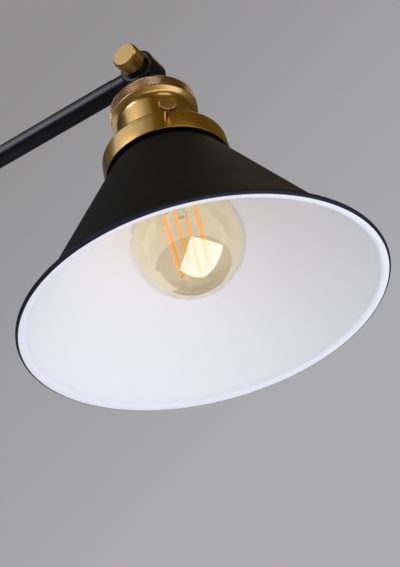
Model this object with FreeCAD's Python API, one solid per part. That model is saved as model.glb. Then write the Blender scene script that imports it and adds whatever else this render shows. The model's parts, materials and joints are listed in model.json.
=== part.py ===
import FreeCAD, Part
import math
import os

# Swing arm wall light with a cone shade, in millimetres.
# The wall is the plane x = 0 and +X points into the room, +Z up.
# The origin is the middle of the wall plate, on the wall.
# Lengths of the head are measured up the lamp axis from the plane of the shade's rim.

V = FreeCAD.Vector

# Clearances
running_gap = 0.06      # radial, a pin or spindle that turns in its bore
loose_gap = 0.3         # between faces of pieces that move past each other
seat_gap = 0.05         # between pieces that are fastened together
hole_gap = 0.4          # radial, a screw through a plain hole
cut_over = 1.0          # how far a cut runs past the face it opens
edge_round = 0.5        # broken edges of turned and moulded pieces
fine_edge = 0.3         # broken edges of sheet and small screws

# Canopy and wall bracket
canopy_r = 60.0
canopy_depth = 24.0
canopy_sheet = 1.2
canopy_round = 5.0
bracket_end = 6.0       # past the middle of each canopy stud
bracket_width = 20.0
bracket_sheet = 1.6
bracket_corner = 3.0
cable_hole_r = 7.0
wall_slot_spacing = 70.0
wall_slot_length = 12.0
wall_slot_width = 4.6
tab_width = 30.0
tab_height = 44.0
stud_r = 2.0
stud_spacing = 92.0
cap_nut_flats = 8.0
cap_nut_height = 3.4
cap_nut_roof = 0.6
earth_screw_y = 21.0
earth_head_r = 3.8
earth_head_height = 2.4
driver_slot = 1.0       # width and depth of the slot in a screw head
earth_ring_r = 5.4
earth_ring_sheet = 0.8

# Terminal block and leads
terminal_width = 26.0
terminal_height = 16.0
terminal_depth = 12.0
terminal_floor = 24.0
pole_spacing = 12.0
sleeve_r = 2.6
sleeve_bore_r = 1.5
clamp_screw_r = 1.4
clamp_screw_spacing = 8.0
clamp_screw_bite = 0.2
clamp_screw_inset = 0.8
lead_r = 1.2
lead_bend = 3.0
lead_entry = 5.0
lead_turn = 4.45        # from the bracket out to the bends of the leads
lead_step = 1.0         # between leads that cross
lead_low_share = 0.6    # the lower leads in the bore, as a share of the upper one's height
neutral_bend = 14.0     # heights of the bends, from the middle of the plate
switched_bend = 14.0
live_bend_high = 9.0
live_bend_low = 16.0
live_side = 9.0         # how far the live lead runs beside the middle
block_run = 4.0         # straight runs into the terminal block and into the switch
switch_run = 5.0
switch_entry_in = 3.0   # places of the two leads on the switch
switch_entry_out = 6.0
earth_run = 10.0
earth_lap = 0.5         # how far the earth wire stops short of the screw's head
earth_lift = 0.2
lead_spread = 1.45      # from the middle of the bore to each lead in it

# Rotary switch
switch_drop = 40.0
switch_width = 22.0
switch_height = 20.0
switch_depth = 13.0
switch_corner = 2.0
bush_r = 4.8
bush_stand = 3.0
switch_nut_flats = 14.0
switch_nut_height = 2.0
spindle_r = 2.9
spindle_depth = 8.0
switch_knob_r = 8.0
switch_knob_height = 13.0
switch_knob_roof = 3.0
switch_knob_teeth = 40
switch_knob_edge = 1.2

# Swivel joints, three alike: swing, tilt and head
joint_r = 11.0
joint_half = 8.5
joint_round = 1.6
joint_cavity_r = 7.0
joint_cavity_depth = 5.0
joint_face_gap = 0.1
neck_r = 6.0
neck_bore_r = 3.3
joint_bolt_r = 2.5
joint_bolt_wall = 1.5   # metal left around the bolt where the cable bore crosses it
bolt_head_r = 5.5
bolt_head_height = 3.0
bolt_head_dome = 1.8
clamp_knob_r = 8.0
clamp_knob_height = 11.0
clamp_knob_collar = 2.0
clamp_knob_collar_r = 6.0
clamp_knob_teeth = 36
clamp_knob_roof = 1.4
clamp_knob_edge = 1.0
knob_knurl = 0.35
washer_r = 6.5
washer_sheet = 0.8

# Wall boss and the link between the two wall joints
boss_flange_r = 15.0
boss_flange = 4.0
boss_flange_round = 1.5
boss_reach = 16.0
shank_r = 5.0
shank_tail = 12.0
boss_nut_flats = 17.0
boss_nut_height = 3.0
boss_washer_r = 9.5
boss_washer_sheet = 0.8
link_length = 38.0

# Arm
arm_length = 250.0
arm_tube_r = 6.3
arm_wall = 1.0
arm_neck = 20.0
spigot_length = 15.0
flex_r = 3.0
grub_r = 1.5
grub_inset = 8.0
grub_sink = 0.2

# Head, from the joint down to the cup's lip
head_tilt = 4.93
pivot_rise = 16.7       # joint axis above the hub
hub_rise = 13.0         # hub above the knurled ring
hub_r = 9.8
swivel_collar_r = 8.8
swivel_collar = 4.0
cap_sheet = 1.1
cap_shoulder = 4.0
cap_shoulder_in = 3.0
cap_shoulder_round = 6.0
cap_edge_in = 0.6
cap_hub_foot = 2.2
cap_hub_out = 1.2
cap_corner = 1.43       # sheet seen at a slant at the cap's two corners
nipple_r = 5.0
nipple_bore_r = 3.6
nipple_drop = 9.0
nipple_rise = 4.5
nipple_nut_flats = 14.0
nipple_nut_height = 2.5
knurl_height = 6.8
knurl_stand = 0.3       # the ring stands this much proud of the lip under it
knurl_wall = 2.0
knurl_teeth = 96
knurl_depth = 0.45
waist_wall = 2.0
waist_ledge = 2.4       # metal under the lamp holder's flange
waist_cove = 5.0        # radius of the cove under the lip
waist_cove_rise = 2.2
waist_lip = 0.75
waist_lip_out = 3.7     # from the waist out to the lip
cup_lip_rise = 6.7      # cup's lip above the lamp holder's seat

# Gallery and its two thumb screws
gallery_over = 1.7      # from the shade's lip up to the gallery
gallery_gap = 1.9       # round the shade's lip
gallery_depth = 12.8
gallery_taper = 0.3
gallery_sheet = 1.0
gallery_round = 1.4
ring_nut_wall = 5.2
ring_nut_height = 3.6
ring_nut_teeth = 24
ring_nut_knurl = 0.8
screw_drop = 7.7
screw_r = 1.8
screw_azimuth = -55.7
screw_count = 2
screw_head_r = 4.75
screw_head_height = 2.8
screw_stand = 9.3       # from the gallery out to the screw's head
screw_teeth = 32
screw_knurl = 0.35

# Shade
cone_rim_r = 88.15
cone_half_angle = 30.34
shade_sheet = 0.8
rim_reach = 2.15        # from the cone out to the middle of the beaded edge
rim_bead_r = 1.2
rim_flange = 2.0
rim_fillet = 2.0
rim_inner_fillet = 3.0
shade_neck_r = 31.0
shade_neck_height = 7.75
shade_lip_out = 1.3
shade_lip = 1.2

# Lamp holder inside the cup
socket_wall = 2.55
socket_flange_out = 2.3
socket_flange = 2.6
socket_drop = 10.6      # mouth below the gallery's top
socket_back = 6.6       # plastic behind the contact
socket_floor = 2.0
shell_sheet = 0.4
post_offset = 11.0
post_height = 5.0
post_r = 3.6
shell_over = 1.2        # the shell reaches this far above the cap's thread
tongue_width = 5.0
tongue_back = 9.0
tongue_front = 2.0
tongue_sheet = 0.5
contact_button_r = 2.5
lead_seat = 1.6         # how deep a lamp lead sits in its post
lead_arch = 3.0

# Bulb
bulb_r = 30.0
bulb_reach = 50.1       # from the cap down to the middle of the globe
bulb_wall = 0.8
bulb_neck_r = 13.2
bulb_neck_drop = 11.8
bulb_neck_round = 34.0
cap_crest_r = 13.0
cap_root_r = 12.2
cap_pitch = 3.6
cap_turns = 5
cap_tip_rise = 5.0
cap_wall = 0.4
thread_crest_share = 0.16        # of the pitch, each way from the crest's middle
thread_root_share = 0.42
first_crest = 0.75      # turns from the mouth of the thread to its first crest
thread_runout = 0.5     # turns past the last whole one
cap_lip = 0.8
cap_lip_in = 2.0
insulator_top_r = 5.2
bulb_contact_r = 4.2
bulb_contact_height = 0.9
filament_length = 40.0
filament_drop = 17.7
filament_r = 0.8
filament_low_r = 7.2
filament_high_r = 9.2
filament_count = 4
filament_azimuth = -173.0
stem_r = 5.5
stem_tip_r = 1.6
stem_reach = 6.0        # below the filaments' upper ends
stem_rod = 14.0
stem_shoulder = 22.0
stem_flare = 6.0
stem_round = 4.0
wire_r = 0.3
wire_rise = 4.0

# Values that follow from the sizes above
canopy_inside = canopy_depth - canopy_sheet
swing_x = canopy_depth + boss_flange + boss_reach
tilt_x = swing_x + link_length
head_x = tilt_x + arm_length
tube_start = tilt_x + arm_neck
tube_end = head_x - arm_neck
tube_bore_r = arm_tube_r - arm_wall
spigot_r = tube_bore_r - seat_gap
neck_start = joint_r + loose_gap + joint_face_gap
cone_slope = math.tan(math.radians(cone_half_angle))
cone_wall = shade_sheet / math.cos(math.radians(cone_half_angle))
rim_bead_centre_r = cone_rim_r + rim_reach
shade_neck_low = (cone_rim_r - shade_neck_r) / cone_slope
shade_neck_top = shade_neck_low + shade_neck_height
shade_lip_r = shade_neck_r + shade_lip_out
gallery_top = shade_neck_top + gallery_over + gallery_sheet
gallery_bottom = gallery_top - gallery_depth
gallery_r = shade_lip_r + gallery_gap + gallery_sheet
gallery_top_r = gallery_r - gallery_taper
screw_height = gallery_top - screw_drop
screw_head_out = gallery_r + screw_stand
socket_mouth = gallery_top - socket_drop
cap_bottom = socket_mouth + loose_gap
cap_top = cap_bottom + cap_pitch * (cap_turns + thread_runout)
shell_top = cap_top + shell_over
contact_tip = cap_top + cap_tip_rise
contact_height = contact_tip + loose_gap
socket_ceiling = contact_height + socket_floor
socket_seat = socket_ceiling + socket_back
socket_top = socket_seat + seat_gap + socket_flange
socket_r = cap_crest_r + loose_gap + shell_sheet + seat_gap + socket_wall
socket_flange_r = socket_r + socket_flange_out
seat_bore_r = socket_flange_r + 2 * loose_gap
waist_r = seat_bore_r + waist_wall
waist_lip_r = waist_r + waist_lip_out
knurl_r = waist_lip_r + knurl_stand
ring_nut_r = socket_r + ring_nut_wall
knurl_bottom = socket_seat + cup_lip_rise
knurl_top = knurl_bottom + knurl_height
hub_height = knurl_top + hub_rise
nipple_low = hub_height - nipple_drop
nipple_high = hub_height + nipple_rise
pivot_height = hub_height + pivot_rise
bulb_centre = cap_bottom - bulb_reach
bulb_neck_height = cap_bottom - bulb_neck_drop
filament_low = bulb_centre - filament_drop
pole_x = bracket_sheet + seat_gap + terminal_depth / 2
knob_end = -(joint_half + loose_gap + clamp_knob_height)
spindle_end = canopy_depth + bush_stand + switch_knob_height - switch_knob_roof
skirt_r = knurl_r - knurl_wall - seat_gap
skirt_middle = (knurl_top + knurl_bottom) / 2
filament_high = filament_low + filament_length
stem_tip = filament_high - stem_reach

nodes = {}


# Outlines and basic solids

def tangent_corner(before, corner, after, radius):
    """Start, middle and end of the arc that rounds one corner."""
    u = (before - corner).normalize()
    w = (after - corner).normalize()
    half = 0.5 * u.getAngle(w)
    radius = min(radius, 0.49 * math.tan(half) * min((before - corner).Length, (after - corner).Length))
    reach = radius / math.tan(half)
    bisector = (u + w).normalize()
    middle = corner + bisector * (radius / math.sin(half) - radius)
    return corner + u * reach, middle, corner + w * reach


def wire(corners, to_point):
    """Closed wire through corners (a, b) or (a, b, rounding radius)."""
    points = [to_point(c[0], c[1]) for c in corners]
    count = len(points)
    runs = []
    for i, corner in enumerate(corners):
        if len(corner) > 2:
            runs.append(tangent_corner(points[i - 1], points[i], points[(i + 1) % count], corner[2]))
        else:
            runs.append((points[i],))
    edges = []
    for i, run in enumerate(runs):
        if len(run) == 3:
            edges.append(Part.Arc(*run).toShape())
        following = runs[(i + 1) % count][0]
        if (following - run[-1]).Length > 1e-6:
            edges.append(Part.LineSegment(run[-1], following).toShape())
    return Part.Wire(edges)


def turned(corners):
    """Solid of revolution about Z from corners (radius, height[, rounding])."""
    face = Part.Face(wire(corners, lambda r, z: V(r, 0, z)))
    return face.revolve(V(0, 0, 0), V(0, 0, 1), 360)


def plate(corners, low, high):
    """Flat piece in the XY plane from corners (x, y[, rounding]), between two heights."""
    face = Part.Face(wire(corners, lambda x, y: V(x, y, low)))
    return face.extrude(V(0, 0, high - low))


def rod(radius, low, high):
    return Part.makeCylinder(radius, high - low, V(0, 0, low))


def tube(outer, inner, low, high):
    return rod(outer, low, high).cut(rod(inner, low, high))


def hexagon(flats, low, high):
    r = flats / math.sqrt(3)
    corners = [(r * math.cos(k * math.pi / 3), r * math.sin(k * math.pi / 3)) for k in range(6)]
    return plate(corners, low, high)


def block(low_corner, high_corner):
    size = V(*high_corner) - V(*low_corner)
    return Part.makeBox(size.x, size.y, size.z, V(*low_corner))


def fluted(radius, teeth, depth, low, high):
    """Straight knurl: a ring of pointed teeth around Z."""
    corners = []
    for k in range(teeth):
        for step, r in ((0.0, radius), (0.5, radius - depth)):
            angle = 2 * math.pi * (k + step) / teeth
            corners.append((r * math.cos(angle), r * math.sin(angle)))
    return plate(corners, low, high)


def joined(shapes):
    result = shapes[0]
    for shape in shapes[1:]:
        result = result.fuse(shape)
    return result.removeSplitter()


def turned_to(shape, direction, at=V(0, 0, 0)):
    """Turn a shape built along Z to point along a direction, and move it."""
    moved = shape.copy()
    moved.Placement = FreeCAD.Placement(at, FreeCAD.Rotation(V(0, 0, 1), direction))
    return moved


def along_x(shape, y=0.0, z=0.0):
    """A piece built along Z, laid along X so that its height becomes x."""
    return turned_to(shape, V(1, 0, 0), V(0, y, z))


def bent_wire(points, radius, bend):
    """Round wire along straight runs with rounded corners."""
    path = [V(*p) for p in points]
    edges = []
    start = path[0]
    for i in range(1, len(path) - 1):
        first, middle, last = tangent_corner(path[i - 1], path[i], path[i + 1], bend)
        edges.append(Part.LineSegment(start, first).toShape())
        edges.append(Part.Arc(first, middle, last).toShape())
        start = last
    edges.append(Part.LineSegment(start, path[-1]).toShape())
    spine = Part.Wire(edges)
    section = Part.Wire(Part.makeCircle(radius, path[0], path[1] - path[0]))
    return spine.makePipeShell([section], True, False)


# Pieces shared by the three joints

def swivel_half(side, reach):
    """Half of a hollow swivel: pivot on Z at the origin, neck along +X."""
    low = joint_face_gap / 2
    disc = turned([(joint_bolt_r + running_gap, low), (joint_r, low),
                   (joint_r, joint_half, joint_round), (joint_bolt_r + running_gap, joint_half)])
    cavity = tube(joint_cavity_r, joint_bolt_r + running_gap, low, low + joint_cavity_depth)
    neck = turned_to(rod(neck_r, 0, reach), V(1, 0, 0))
    swept = rod(neck_start, -joint_half, low)
    inner = rod(joint_r - joint_round, -joint_half, joint_half + joint_r)
    body = disc.fuse(neck.cut(swept).cut(inner))
    bore = turned_to(rod(neck_bore_r, 0, reach), V(1, 0, 0))
    half = body.cut(bore.cut(rod(joint_bolt_r + joint_bolt_wall, -joint_r, joint_r)))
    half = half.cut(cavity).removeSplitter()
    if side < 0:
        half = half.mirror(V(0, 0, 0), V(0, 0, 1))
    return half


def joint_bolt():
    """Bolt on Z with a low domed head on top and a plain end inside the knob."""
    end = knob_end + clamp_knob_roof + loose_gap
    head_low = joint_half + washer_sheet + seat_gap
    return turned([(0, end), (joint_bolt_r, end),
                   (joint_bolt_r, head_low), (bolt_head_r, head_low, edge_round),
                   (bolt_head_r, head_low + bolt_head_height, bolt_head_dome),
                   (0, head_low + bolt_head_height)])


def joint_washer():
    low = joint_half + seat_gap / 2
    return tube(washer_r, joint_bolt_r + seat_gap, low, low + washer_sheet)


def clamp_knob():
    """Knurled brass knob under the joint, with a plain collar that meets it."""
    top = -(joint_half + loose_gap)
    knurled_top = top - clamp_knob_collar
    grip = fluted(clamp_knob_r, clamp_knob_teeth, knob_knurl, knob_end, knurled_top)
    chamfer = turned([(0, knob_end), (clamp_knob_r - clamp_knob_edge, knob_end),
                      (clamp_knob_r, knob_end + clamp_knob_edge), (clamp_knob_r, knurled_top - edge_round),
                      (clamp_knob_r - edge_round, knurled_top), (0, knurled_top)])
    collar = rod(clamp_knob_collar_r, knurled_top, top)
    hole = rod(joint_bolt_r + running_gap, knob_end + clamp_knob_roof, top)
    return joined([grip.common(chamfer), collar]).cut(hole)


def on_joint(shape, pivot, knob_direction, neck_direction):
    """Place a joint piece: its knob end points along one direction, its neck along another."""
    z_axis = V(0, 0, 0) - knob_direction
    x_axis = neck_direction
    y_axis = z_axis.cross(x_axis)
    matrix = FreeCAD.Matrix(x_axis.x, y_axis.x, z_axis.x, pivot.x,
                            x_axis.y, y_axis.y, z_axis.y, pivot.y,
                            x_axis.z, y_axis.z, z_axis.z, pivot.z,
                            0, 0, 0, 1)
    placed = shape.copy()
    placed.Placement = FreeCAD.Placement(matrix).multiply(placed.Placement)
    return placed


down = V(0, 0, -1)
sideways = V(0, -1, 0)
outward = V(1, 0, 0)
inward = V(-1, 0, 0)
swing_pivot = V(swing_x, 0, 0)
tilt_pivot = V(tilt_x, 0, 0)
head_pivot = V(head_x, 0, 0)
head_turn = FreeCAD.Rotation(V(0, 1, 0), -head_tilt)
lamp_axis = head_turn.multVec(V(0, 0, 1))


def on_head(shape):
    """Place a piece built on the lamp axis, with the rim plane at height 0."""
    base = head_pivot - lamp_axis * pivot_height
    placed = shape.copy()
    placed.Placement = FreeCAD.Placement(base, head_turn).multiply(placed.Placement)
    return placed


# Wall plate

def make_wall_bracket():
    half = stud_spacing / 2 + bracket_end
    strap = plate([(-bracket_width / 2, -half, bracket_corner), (bracket_width / 2, -half, bracket_corner),
                   (bracket_width / 2, half, bracket_corner), (-bracket_width / 2, half, bracket_corner)],
                  0, bracket_sheet)
    tab = plate([(0, -tab_width / 2), (0, tab_width / 2), (-tab_height, tab_width / 2, bracket_corner),
                 (-tab_height, -tab_width / 2, bracket_corner)], 0, bracket_sheet)
    shape = joined([strap, tab])
    shape = shape.cut(rod(cable_hole_r, 0, bracket_sheet))
    slot_reach = (wall_slot_length - wall_slot_width) / 2
    slot_round = wall_slot_width / 2
    for side in (-1, 1):
        y = side * wall_slot_spacing / 2
        slot = rod(slot_round, 0, bracket_sheet)
        for end in (-1, 1):
            shape = shape.cut(turned_to(slot, V(0, 0, 1), V(0, y + end * slot_reach, 0)))
        shape = shape.cut(block((-slot_round, y - slot_reach, 0),
                                (slot_round, y + slot_reach, bracket_sheet)))
        stud_hole = rod(stud_r + seat_gap, 0, bracket_sheet)
        shape = shape.cut(turned_to(stud_hole, V(0, 0, 1), V(0, side * stud_spacing / 2, 0)))
    earth_hole = rod(stud_r + seat_gap, 0, bracket_sheet)
    shape = shape.cut(turned_to(earth_hole, V(0, 0, 1), V(0, earth_screw_y, 0)))
    return along_x(shape)


def make_canopy():
    inner_r = canopy_r - canopy_sheet
    shape = turned([(inner_r, 0), (canopy_r, 0), (canopy_r, canopy_depth, canopy_round),
                    (0, canopy_depth), (0, canopy_inside),
                    (inner_r, canopy_inside, canopy_round - canopy_sheet)])
    shape = along_x(shape)
    shape = shape.cut(along_x(rod(shank_r + hole_gap, canopy_inside - cut_over, canopy_depth + cut_over)))
    for side in (-1, 1):
        hole = rod(stud_r + hole_gap, canopy_inside - cut_over, canopy_depth + cut_over)
        shape = shape.cut(along_x(hole, side * stud_spacing / 2))
    switch_hole = rod(bush_r + seat_gap, canopy_inside - cut_over, canopy_depth + cut_over)
    return shape.cut(along_x(switch_hole, 0, -switch_drop))


def make_canopy_studs():
    stud = rod(stud_r, 0, canopy_depth + cap_nut_height)
    return Part.makeCompound([along_x(stud, side * stud_spacing / 2) for side in (-1, 1)])


def make_cap_nuts():
    base = canopy_depth + seat_gap
    dome_base = base + cap_nut_height
    dome_r = cap_nut_flats / 2 - fine_edge
    dome = turned([(0, dome_base), (dome_r, dome_base), (dome_r, dome_base + dome_r, dome_r - fine_edge),
                   (0, dome_base + dome_r)])
    nut = joined([hexagon(cap_nut_flats, base, dome_base), dome])
    nut = nut.cut(rod(stud_r + seat_gap, base, canopy_depth + cap_nut_height + cap_nut_roof))
    return Part.makeCompound([along_x(nut, side * stud_spacing / 2) for side in (-1, 1)])


def make_earth_screw():
    head_low = bracket_sheet + earth_ring_sheet + 2 * seat_gap
    head_high = head_low + earth_head_height
    screw = turned([(0, 0), (stud_r, 0), (stud_r, head_low), (earth_head_r, head_low),
                    (earth_head_r, head_high, driver_slot), (0, head_high)])
    slot = block((-driver_slot / 2, -earth_head_r, head_high - driver_slot),
                 (driver_slot / 2, earth_head_r, head_high))
    return along_x(screw.cut(slot), earth_screw_y)


def pole_positions():
    return [side * pole_spacing / 2 for side in (-1, 1)]


def terminal_middle():
    return terminal_floor + terminal_height / 2


def make_terminal_block():
    low_x = bracket_sheet + seat_gap
    body = block((low_x, -terminal_width / 2, terminal_floor),
                 (low_x + terminal_depth, terminal_width / 2, terminal_floor + terminal_height))
    for y in pole_positions():
        body = body.cut(turned_to(rod(sleeve_r + seat_gap, 0, terminal_height), V(0, 0, 1),
                                  V(pole_x, y, terminal_floor)))
        for side in (-1, 1):
            z = terminal_middle() + side * clamp_screw_spacing / 2
            access = rod(clamp_screw_r + hole_gap, pole_x, low_x + terminal_depth)
            body = body.cut(along_x(access, y, z))
    return body


def make_terminal_sleeves():
    sleeve = tube(sleeve_r, sleeve_bore_r, 0, terminal_height)
    sleeves = []
    for y in pole_positions():
        shape = turned_to(sleeve, V(0, 0, 1), V(pole_x, y, terminal_floor))
        for side in (-1, 1):
            z = terminal_middle() + side * clamp_screw_spacing / 2
            shape = shape.cut(along_x(rod(clamp_screw_r + seat_gap, pole_x, pole_x + terminal_depth), y, z))
        sleeves.append(shape)
    return Part.makeCompound(sleeves)


def make_terminal_screws():
    screw = rod(clamp_screw_r, pole_x + sleeve_bore_r - clamp_screw_bite,
                pole_x + terminal_depth / 2 - clamp_screw_inset)
    screws = []
    for y in pole_positions():
        for side in (-1, 1):
            z = terminal_middle() + side * clamp_screw_spacing / 2
            screws.append(along_x(screw, y, z))
    return Part.makeCompound(screws)


# Rotary switch

def make_switch_body():
    back = canopy_inside - seat_gap - switch_depth
    front = canopy_inside - seat_gap
    body = plate([(-switch_height / 2, -switch_width / 2, switch_corner),
                  (switch_height / 2, -switch_width / 2, switch_corner),
                  (switch_height / 2, switch_width / 2, switch_corner),
                  (-switch_height / 2, switch_width / 2, switch_corner)], back, front)
    bush = rod(bush_r, front, canopy_depth + bush_stand)
    bore = rod(spindle_r + running_gap, front - spindle_depth, canopy_depth + bush_stand)
    return along_x(joined([body, bush]).cut(bore), 0, -switch_drop)


def make_switch_nut():
    low = canopy_depth + seat_gap
    nut = hexagon(switch_nut_flats, low, low + switch_nut_height)
    return along_x(nut.cut(rod(bush_r + seat_gap, low, low + switch_nut_height)), 0, -switch_drop)


def make_switch_spindle():
    low = canopy_inside - seat_gap - spindle_depth + loose_gap
    return along_x(rod(spindle_r, low, spindle_end), 0, -switch_drop)


def make_switch_knob():
    low = canopy_depth + switch_nut_height + 2 * loose_gap
    high = low + switch_knob_height
    grip = fluted(switch_knob_r, switch_knob_teeth, knob_knurl, low, high)
    outline = turned([(0, low), (switch_knob_r - edge_round, low), (switch_knob_r, low + edge_round),
                      (switch_knob_r, high - switch_knob_edge), (switch_knob_r - switch_knob_edge, high),
                      (0, high)])
    knob = grip.common(outline)
    knob = knob.cut(rod(bush_r + loose_gap, low, canopy_depth + bush_stand + loose_gap))
    knob = knob.cut(rod(spindle_r + seat_gap, low, spindle_end + seat_gap))
    return along_x(knob, 0, -switch_drop)


# Wall joint

def make_wall_boss():
    """Threaded shank, round flange and the fixed half of the swing joint."""
    flange_low = canopy_depth + seat_gap
    flange = turned([(0, flange_low), (boss_flange_r, flange_low),
                     (boss_flange_r, flange_low + boss_flange, boss_flange_round),
                     (0, flange_low + boss_flange)])
    shank = rod(shank_r, canopy_depth - shank_tail, flange_low)
    half = on_joint(swivel_half(1, boss_reach + cut_over), swing_pivot, down, inward)
    body = joined([along_x(flange), along_x(shank), half])
    return body.cut(along_x(rod(neck_bore_r, canopy_depth - shank_tail, swing_x - joint_cavity_r)))


def make_boss_washer():
    high = canopy_inside - seat_gap
    return along_x(tube(boss_washer_r, shank_r + seat_gap, high - boss_washer_sheet, high))


def make_boss_nut():
    high = canopy_inside - 2 * seat_gap - boss_washer_sheet
    nut = hexagon(boss_nut_flats, high - boss_nut_height, high)
    return along_x(nut.cut(rod(shank_r + seat_gap, high - boss_nut_height, high)))


def make_link():
    """Moving half of the swing joint and fixed half of the tilt joint in one casting."""
    reach = link_length / 2
    near = on_joint(swivel_half(-1, reach), swing_pivot, down, outward)
    far = on_joint(swivel_half(1, reach), tilt_pivot, sideways, inward)
    return joined([near, far])


# Arm

def make_arm_end(pivot, direction, side):
    """Swivel half with a neck and a spigot that slides into the tube."""
    half = swivel_half(side, arm_neck)
    spigot = turned_to(tube(spigot_r, neck_bore_r, arm_neck, arm_neck + spigot_length), V(1, 0, 0))
    return on_joint(joined([half, spigot]), pivot, sideways, direction)


def upward_on_arm(shape, x):
    """A piece built along Z, stood on the arm's middle line."""
    return turned_to(shape, V(0, 0, 1), V(x, 0, 0))


def grub_places():
    return [tube_start + grub_inset, tube_end - grub_inset]


def make_arm_tube():
    shape = along_x(tube(arm_tube_r, tube_bore_r, tube_start + seat_gap, tube_end - seat_gap))
    for x in grub_places():
        shape = shape.cut(upward_on_arm(rod(grub_r + seat_gap, 0, arm_tube_r + cut_over), x))
    return shape


def make_arm_grubs():
    grub = rod(grub_r, spigot_r + seat_gap, arm_tube_r - grub_sink)
    return Part.makeCompound([upward_on_arm(grub, x) for x in grub_places()])


def make_arm_flex():
    low = tilt_x + neck_start
    high = head_x - neck_start
    return along_x(rod(flex_r, low, high))


# Head

def make_head_swivel():
    """Moving half of the head joint, with a collar that holds the threaded nipple."""
    reach = pivot_height - hub_height - seat_gap
    half = swivel_half(-1, reach)
    collar = turned([(0, reach - swivel_collar), (swivel_collar_r, reach - swivel_collar, edge_round),
                     (swivel_collar_r, reach), (0, reach)])
    bore = turned_to(rod(nipple_r + seat_gap, pivot_height - nipple_high - seat_gap, reach), V(1, 0, 0))
    through = turned_to(rod(neck_bore_r, joint_cavity_r, reach), V(1, 0, 0))
    body = joined([half, turned_to(collar, V(1, 0, 0))]).cut(bore).cut(through)
    return on_joint(body, head_pivot, sideways, V(0, 0, 0) - lamp_axis)


def make_nipple():
    return on_head(tube(nipple_r, nipple_bore_r, nipple_low, nipple_high))


def make_nipple_nut():
    high = hub_height - cap_sheet - seat_gap
    nut = hexagon(nipple_nut_flats, high - nipple_nut_height, high)
    return on_head(nut.cut(rod(nipple_r + seat_gap, high - nipple_nut_height, high)))


def make_cup_cap():
    """Domed brass cap with a short skirt inside the knurled ring."""
    edge = knurl_r - cap_edge_in
    shoulder = edge - cap_shoulder_in
    hub_foot = hub_height - cap_hub_foot
    inner = skirt_r - cap_sheet
    low = knurl_top + seat_gap
    skirt_low = skirt_middle + seat_gap
    return on_head(turned([
        (nipple_r + seat_gap, hub_height), (hub_r, hub_height, edge_round),
        (hub_r + cap_hub_out, hub_foot, 2 * edge_round),
        (shoulder, low + cap_shoulder, cap_shoulder_round),
        (edge, low, fine_edge), (skirt_r, low), (skirt_r, skirt_low), (inner, skirt_low),
        (inner, low + edge_round, 2 * edge_round),
        (shoulder - cap_corner, low + cap_shoulder - cap_sheet, cap_shoulder_round - cap_sheet),
        (hub_r + cap_hub_out - cap_sheet, hub_foot - cap_corner, 2 * edge_round),
        (hub_r - cap_sheet, hub_height - cap_sheet, edge_round),
        (nipple_r + seat_gap, hub_height - cap_sheet)]))


def make_knurled_ring():
    ring = fluted(knurl_r, knurl_teeth, knurl_depth, knurl_bottom, knurl_top)
    outline = turned([(knurl_r - knurl_wall, knurl_bottom), (knurl_r - edge_round, knurl_bottom),
                      (knurl_r, knurl_bottom + edge_round), (knurl_r, knurl_top - edge_round),
                      (knurl_r - edge_round, knurl_top), (knurl_r - knurl_wall, knurl_top)])
    return on_head(ring.common(outline))


def make_cup_body():
    """Brass body: straight waist on the gallery, cove up to the lip, ledge for the lamp holder."""
    bore = socket_r + loose_gap
    foot = gallery_top + seat_gap
    lip_top = knurl_bottom - seat_gap
    lip_low = lip_top - waist_lip
    ledge_low = socket_seat - waist_ledge
    skirt_high = skirt_middle - seat_gap
    return on_head(turned([
        (seat_bore_r, foot), (waist_r, foot, fine_edge),
        (waist_r, lip_low - waist_cove_rise, waist_cove), (waist_lip_r, lip_low, edge_round),
        (waist_lip_r, lip_top, fine_edge), (skirt_r, lip_top), (skirt_r, skirt_high),
        (seat_bore_r, skirt_high), (seat_bore_r, socket_seat), (bore, socket_seat),
        (bore, ledge_low), (seat_bore_r, ledge_low)]))


def make_gallery():
    inner_hole = socket_r + seat_gap
    shape = turned([
        (inner_hole, gallery_top - gallery_sheet), (inner_hole, gallery_top),
        (gallery_top_r, gallery_top, gallery_round), (gallery_r, gallery_bottom, fine_edge),
        (gallery_r - gallery_sheet, gallery_bottom, fine_edge),
        (gallery_top_r - gallery_sheet, gallery_top - gallery_sheet, gallery_round / 2)])
    for k in range(screw_count):
        shape = shape.cut(radial(rod(screw_r + running_gap, shade_neck_r, gallery_r + cut_over), k))
    return on_head(shape)


def radial(shape, k):
    """Lay a piece built along Z on the radius of thumb screw k."""
    angle = math.radians(screw_azimuth + 360.0 * k / screw_count)
    return turned_to(shape, V(math.cos(angle), math.sin(angle), 0), V(0, 0, screw_height))


def make_gallery_screw(k):
    tip = shade_neck_r + loose_gap
    head_high = screw_head_out + screw_head_height
    shank = turned([(0, tip), (screw_r - edge_round, tip), (screw_r, tip + edge_round),
                    (screw_r, screw_head_out), (0, screw_head_out)])
    head = fluted(screw_head_r, screw_teeth, screw_knurl, screw_head_out, head_high)
    outline = turned([(0, screw_head_out), (screw_head_r - fine_edge, screw_head_out),
                      (screw_head_r, screw_head_out + fine_edge), (screw_head_r, head_high - fine_edge),
                      (screw_head_r - fine_edge, head_high), (0, head_high)])
    return on_head(radial(joined([shank, head.common(outline)]), k))


def cone_r(height):
    return cone_rim_r - height * cone_slope


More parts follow.
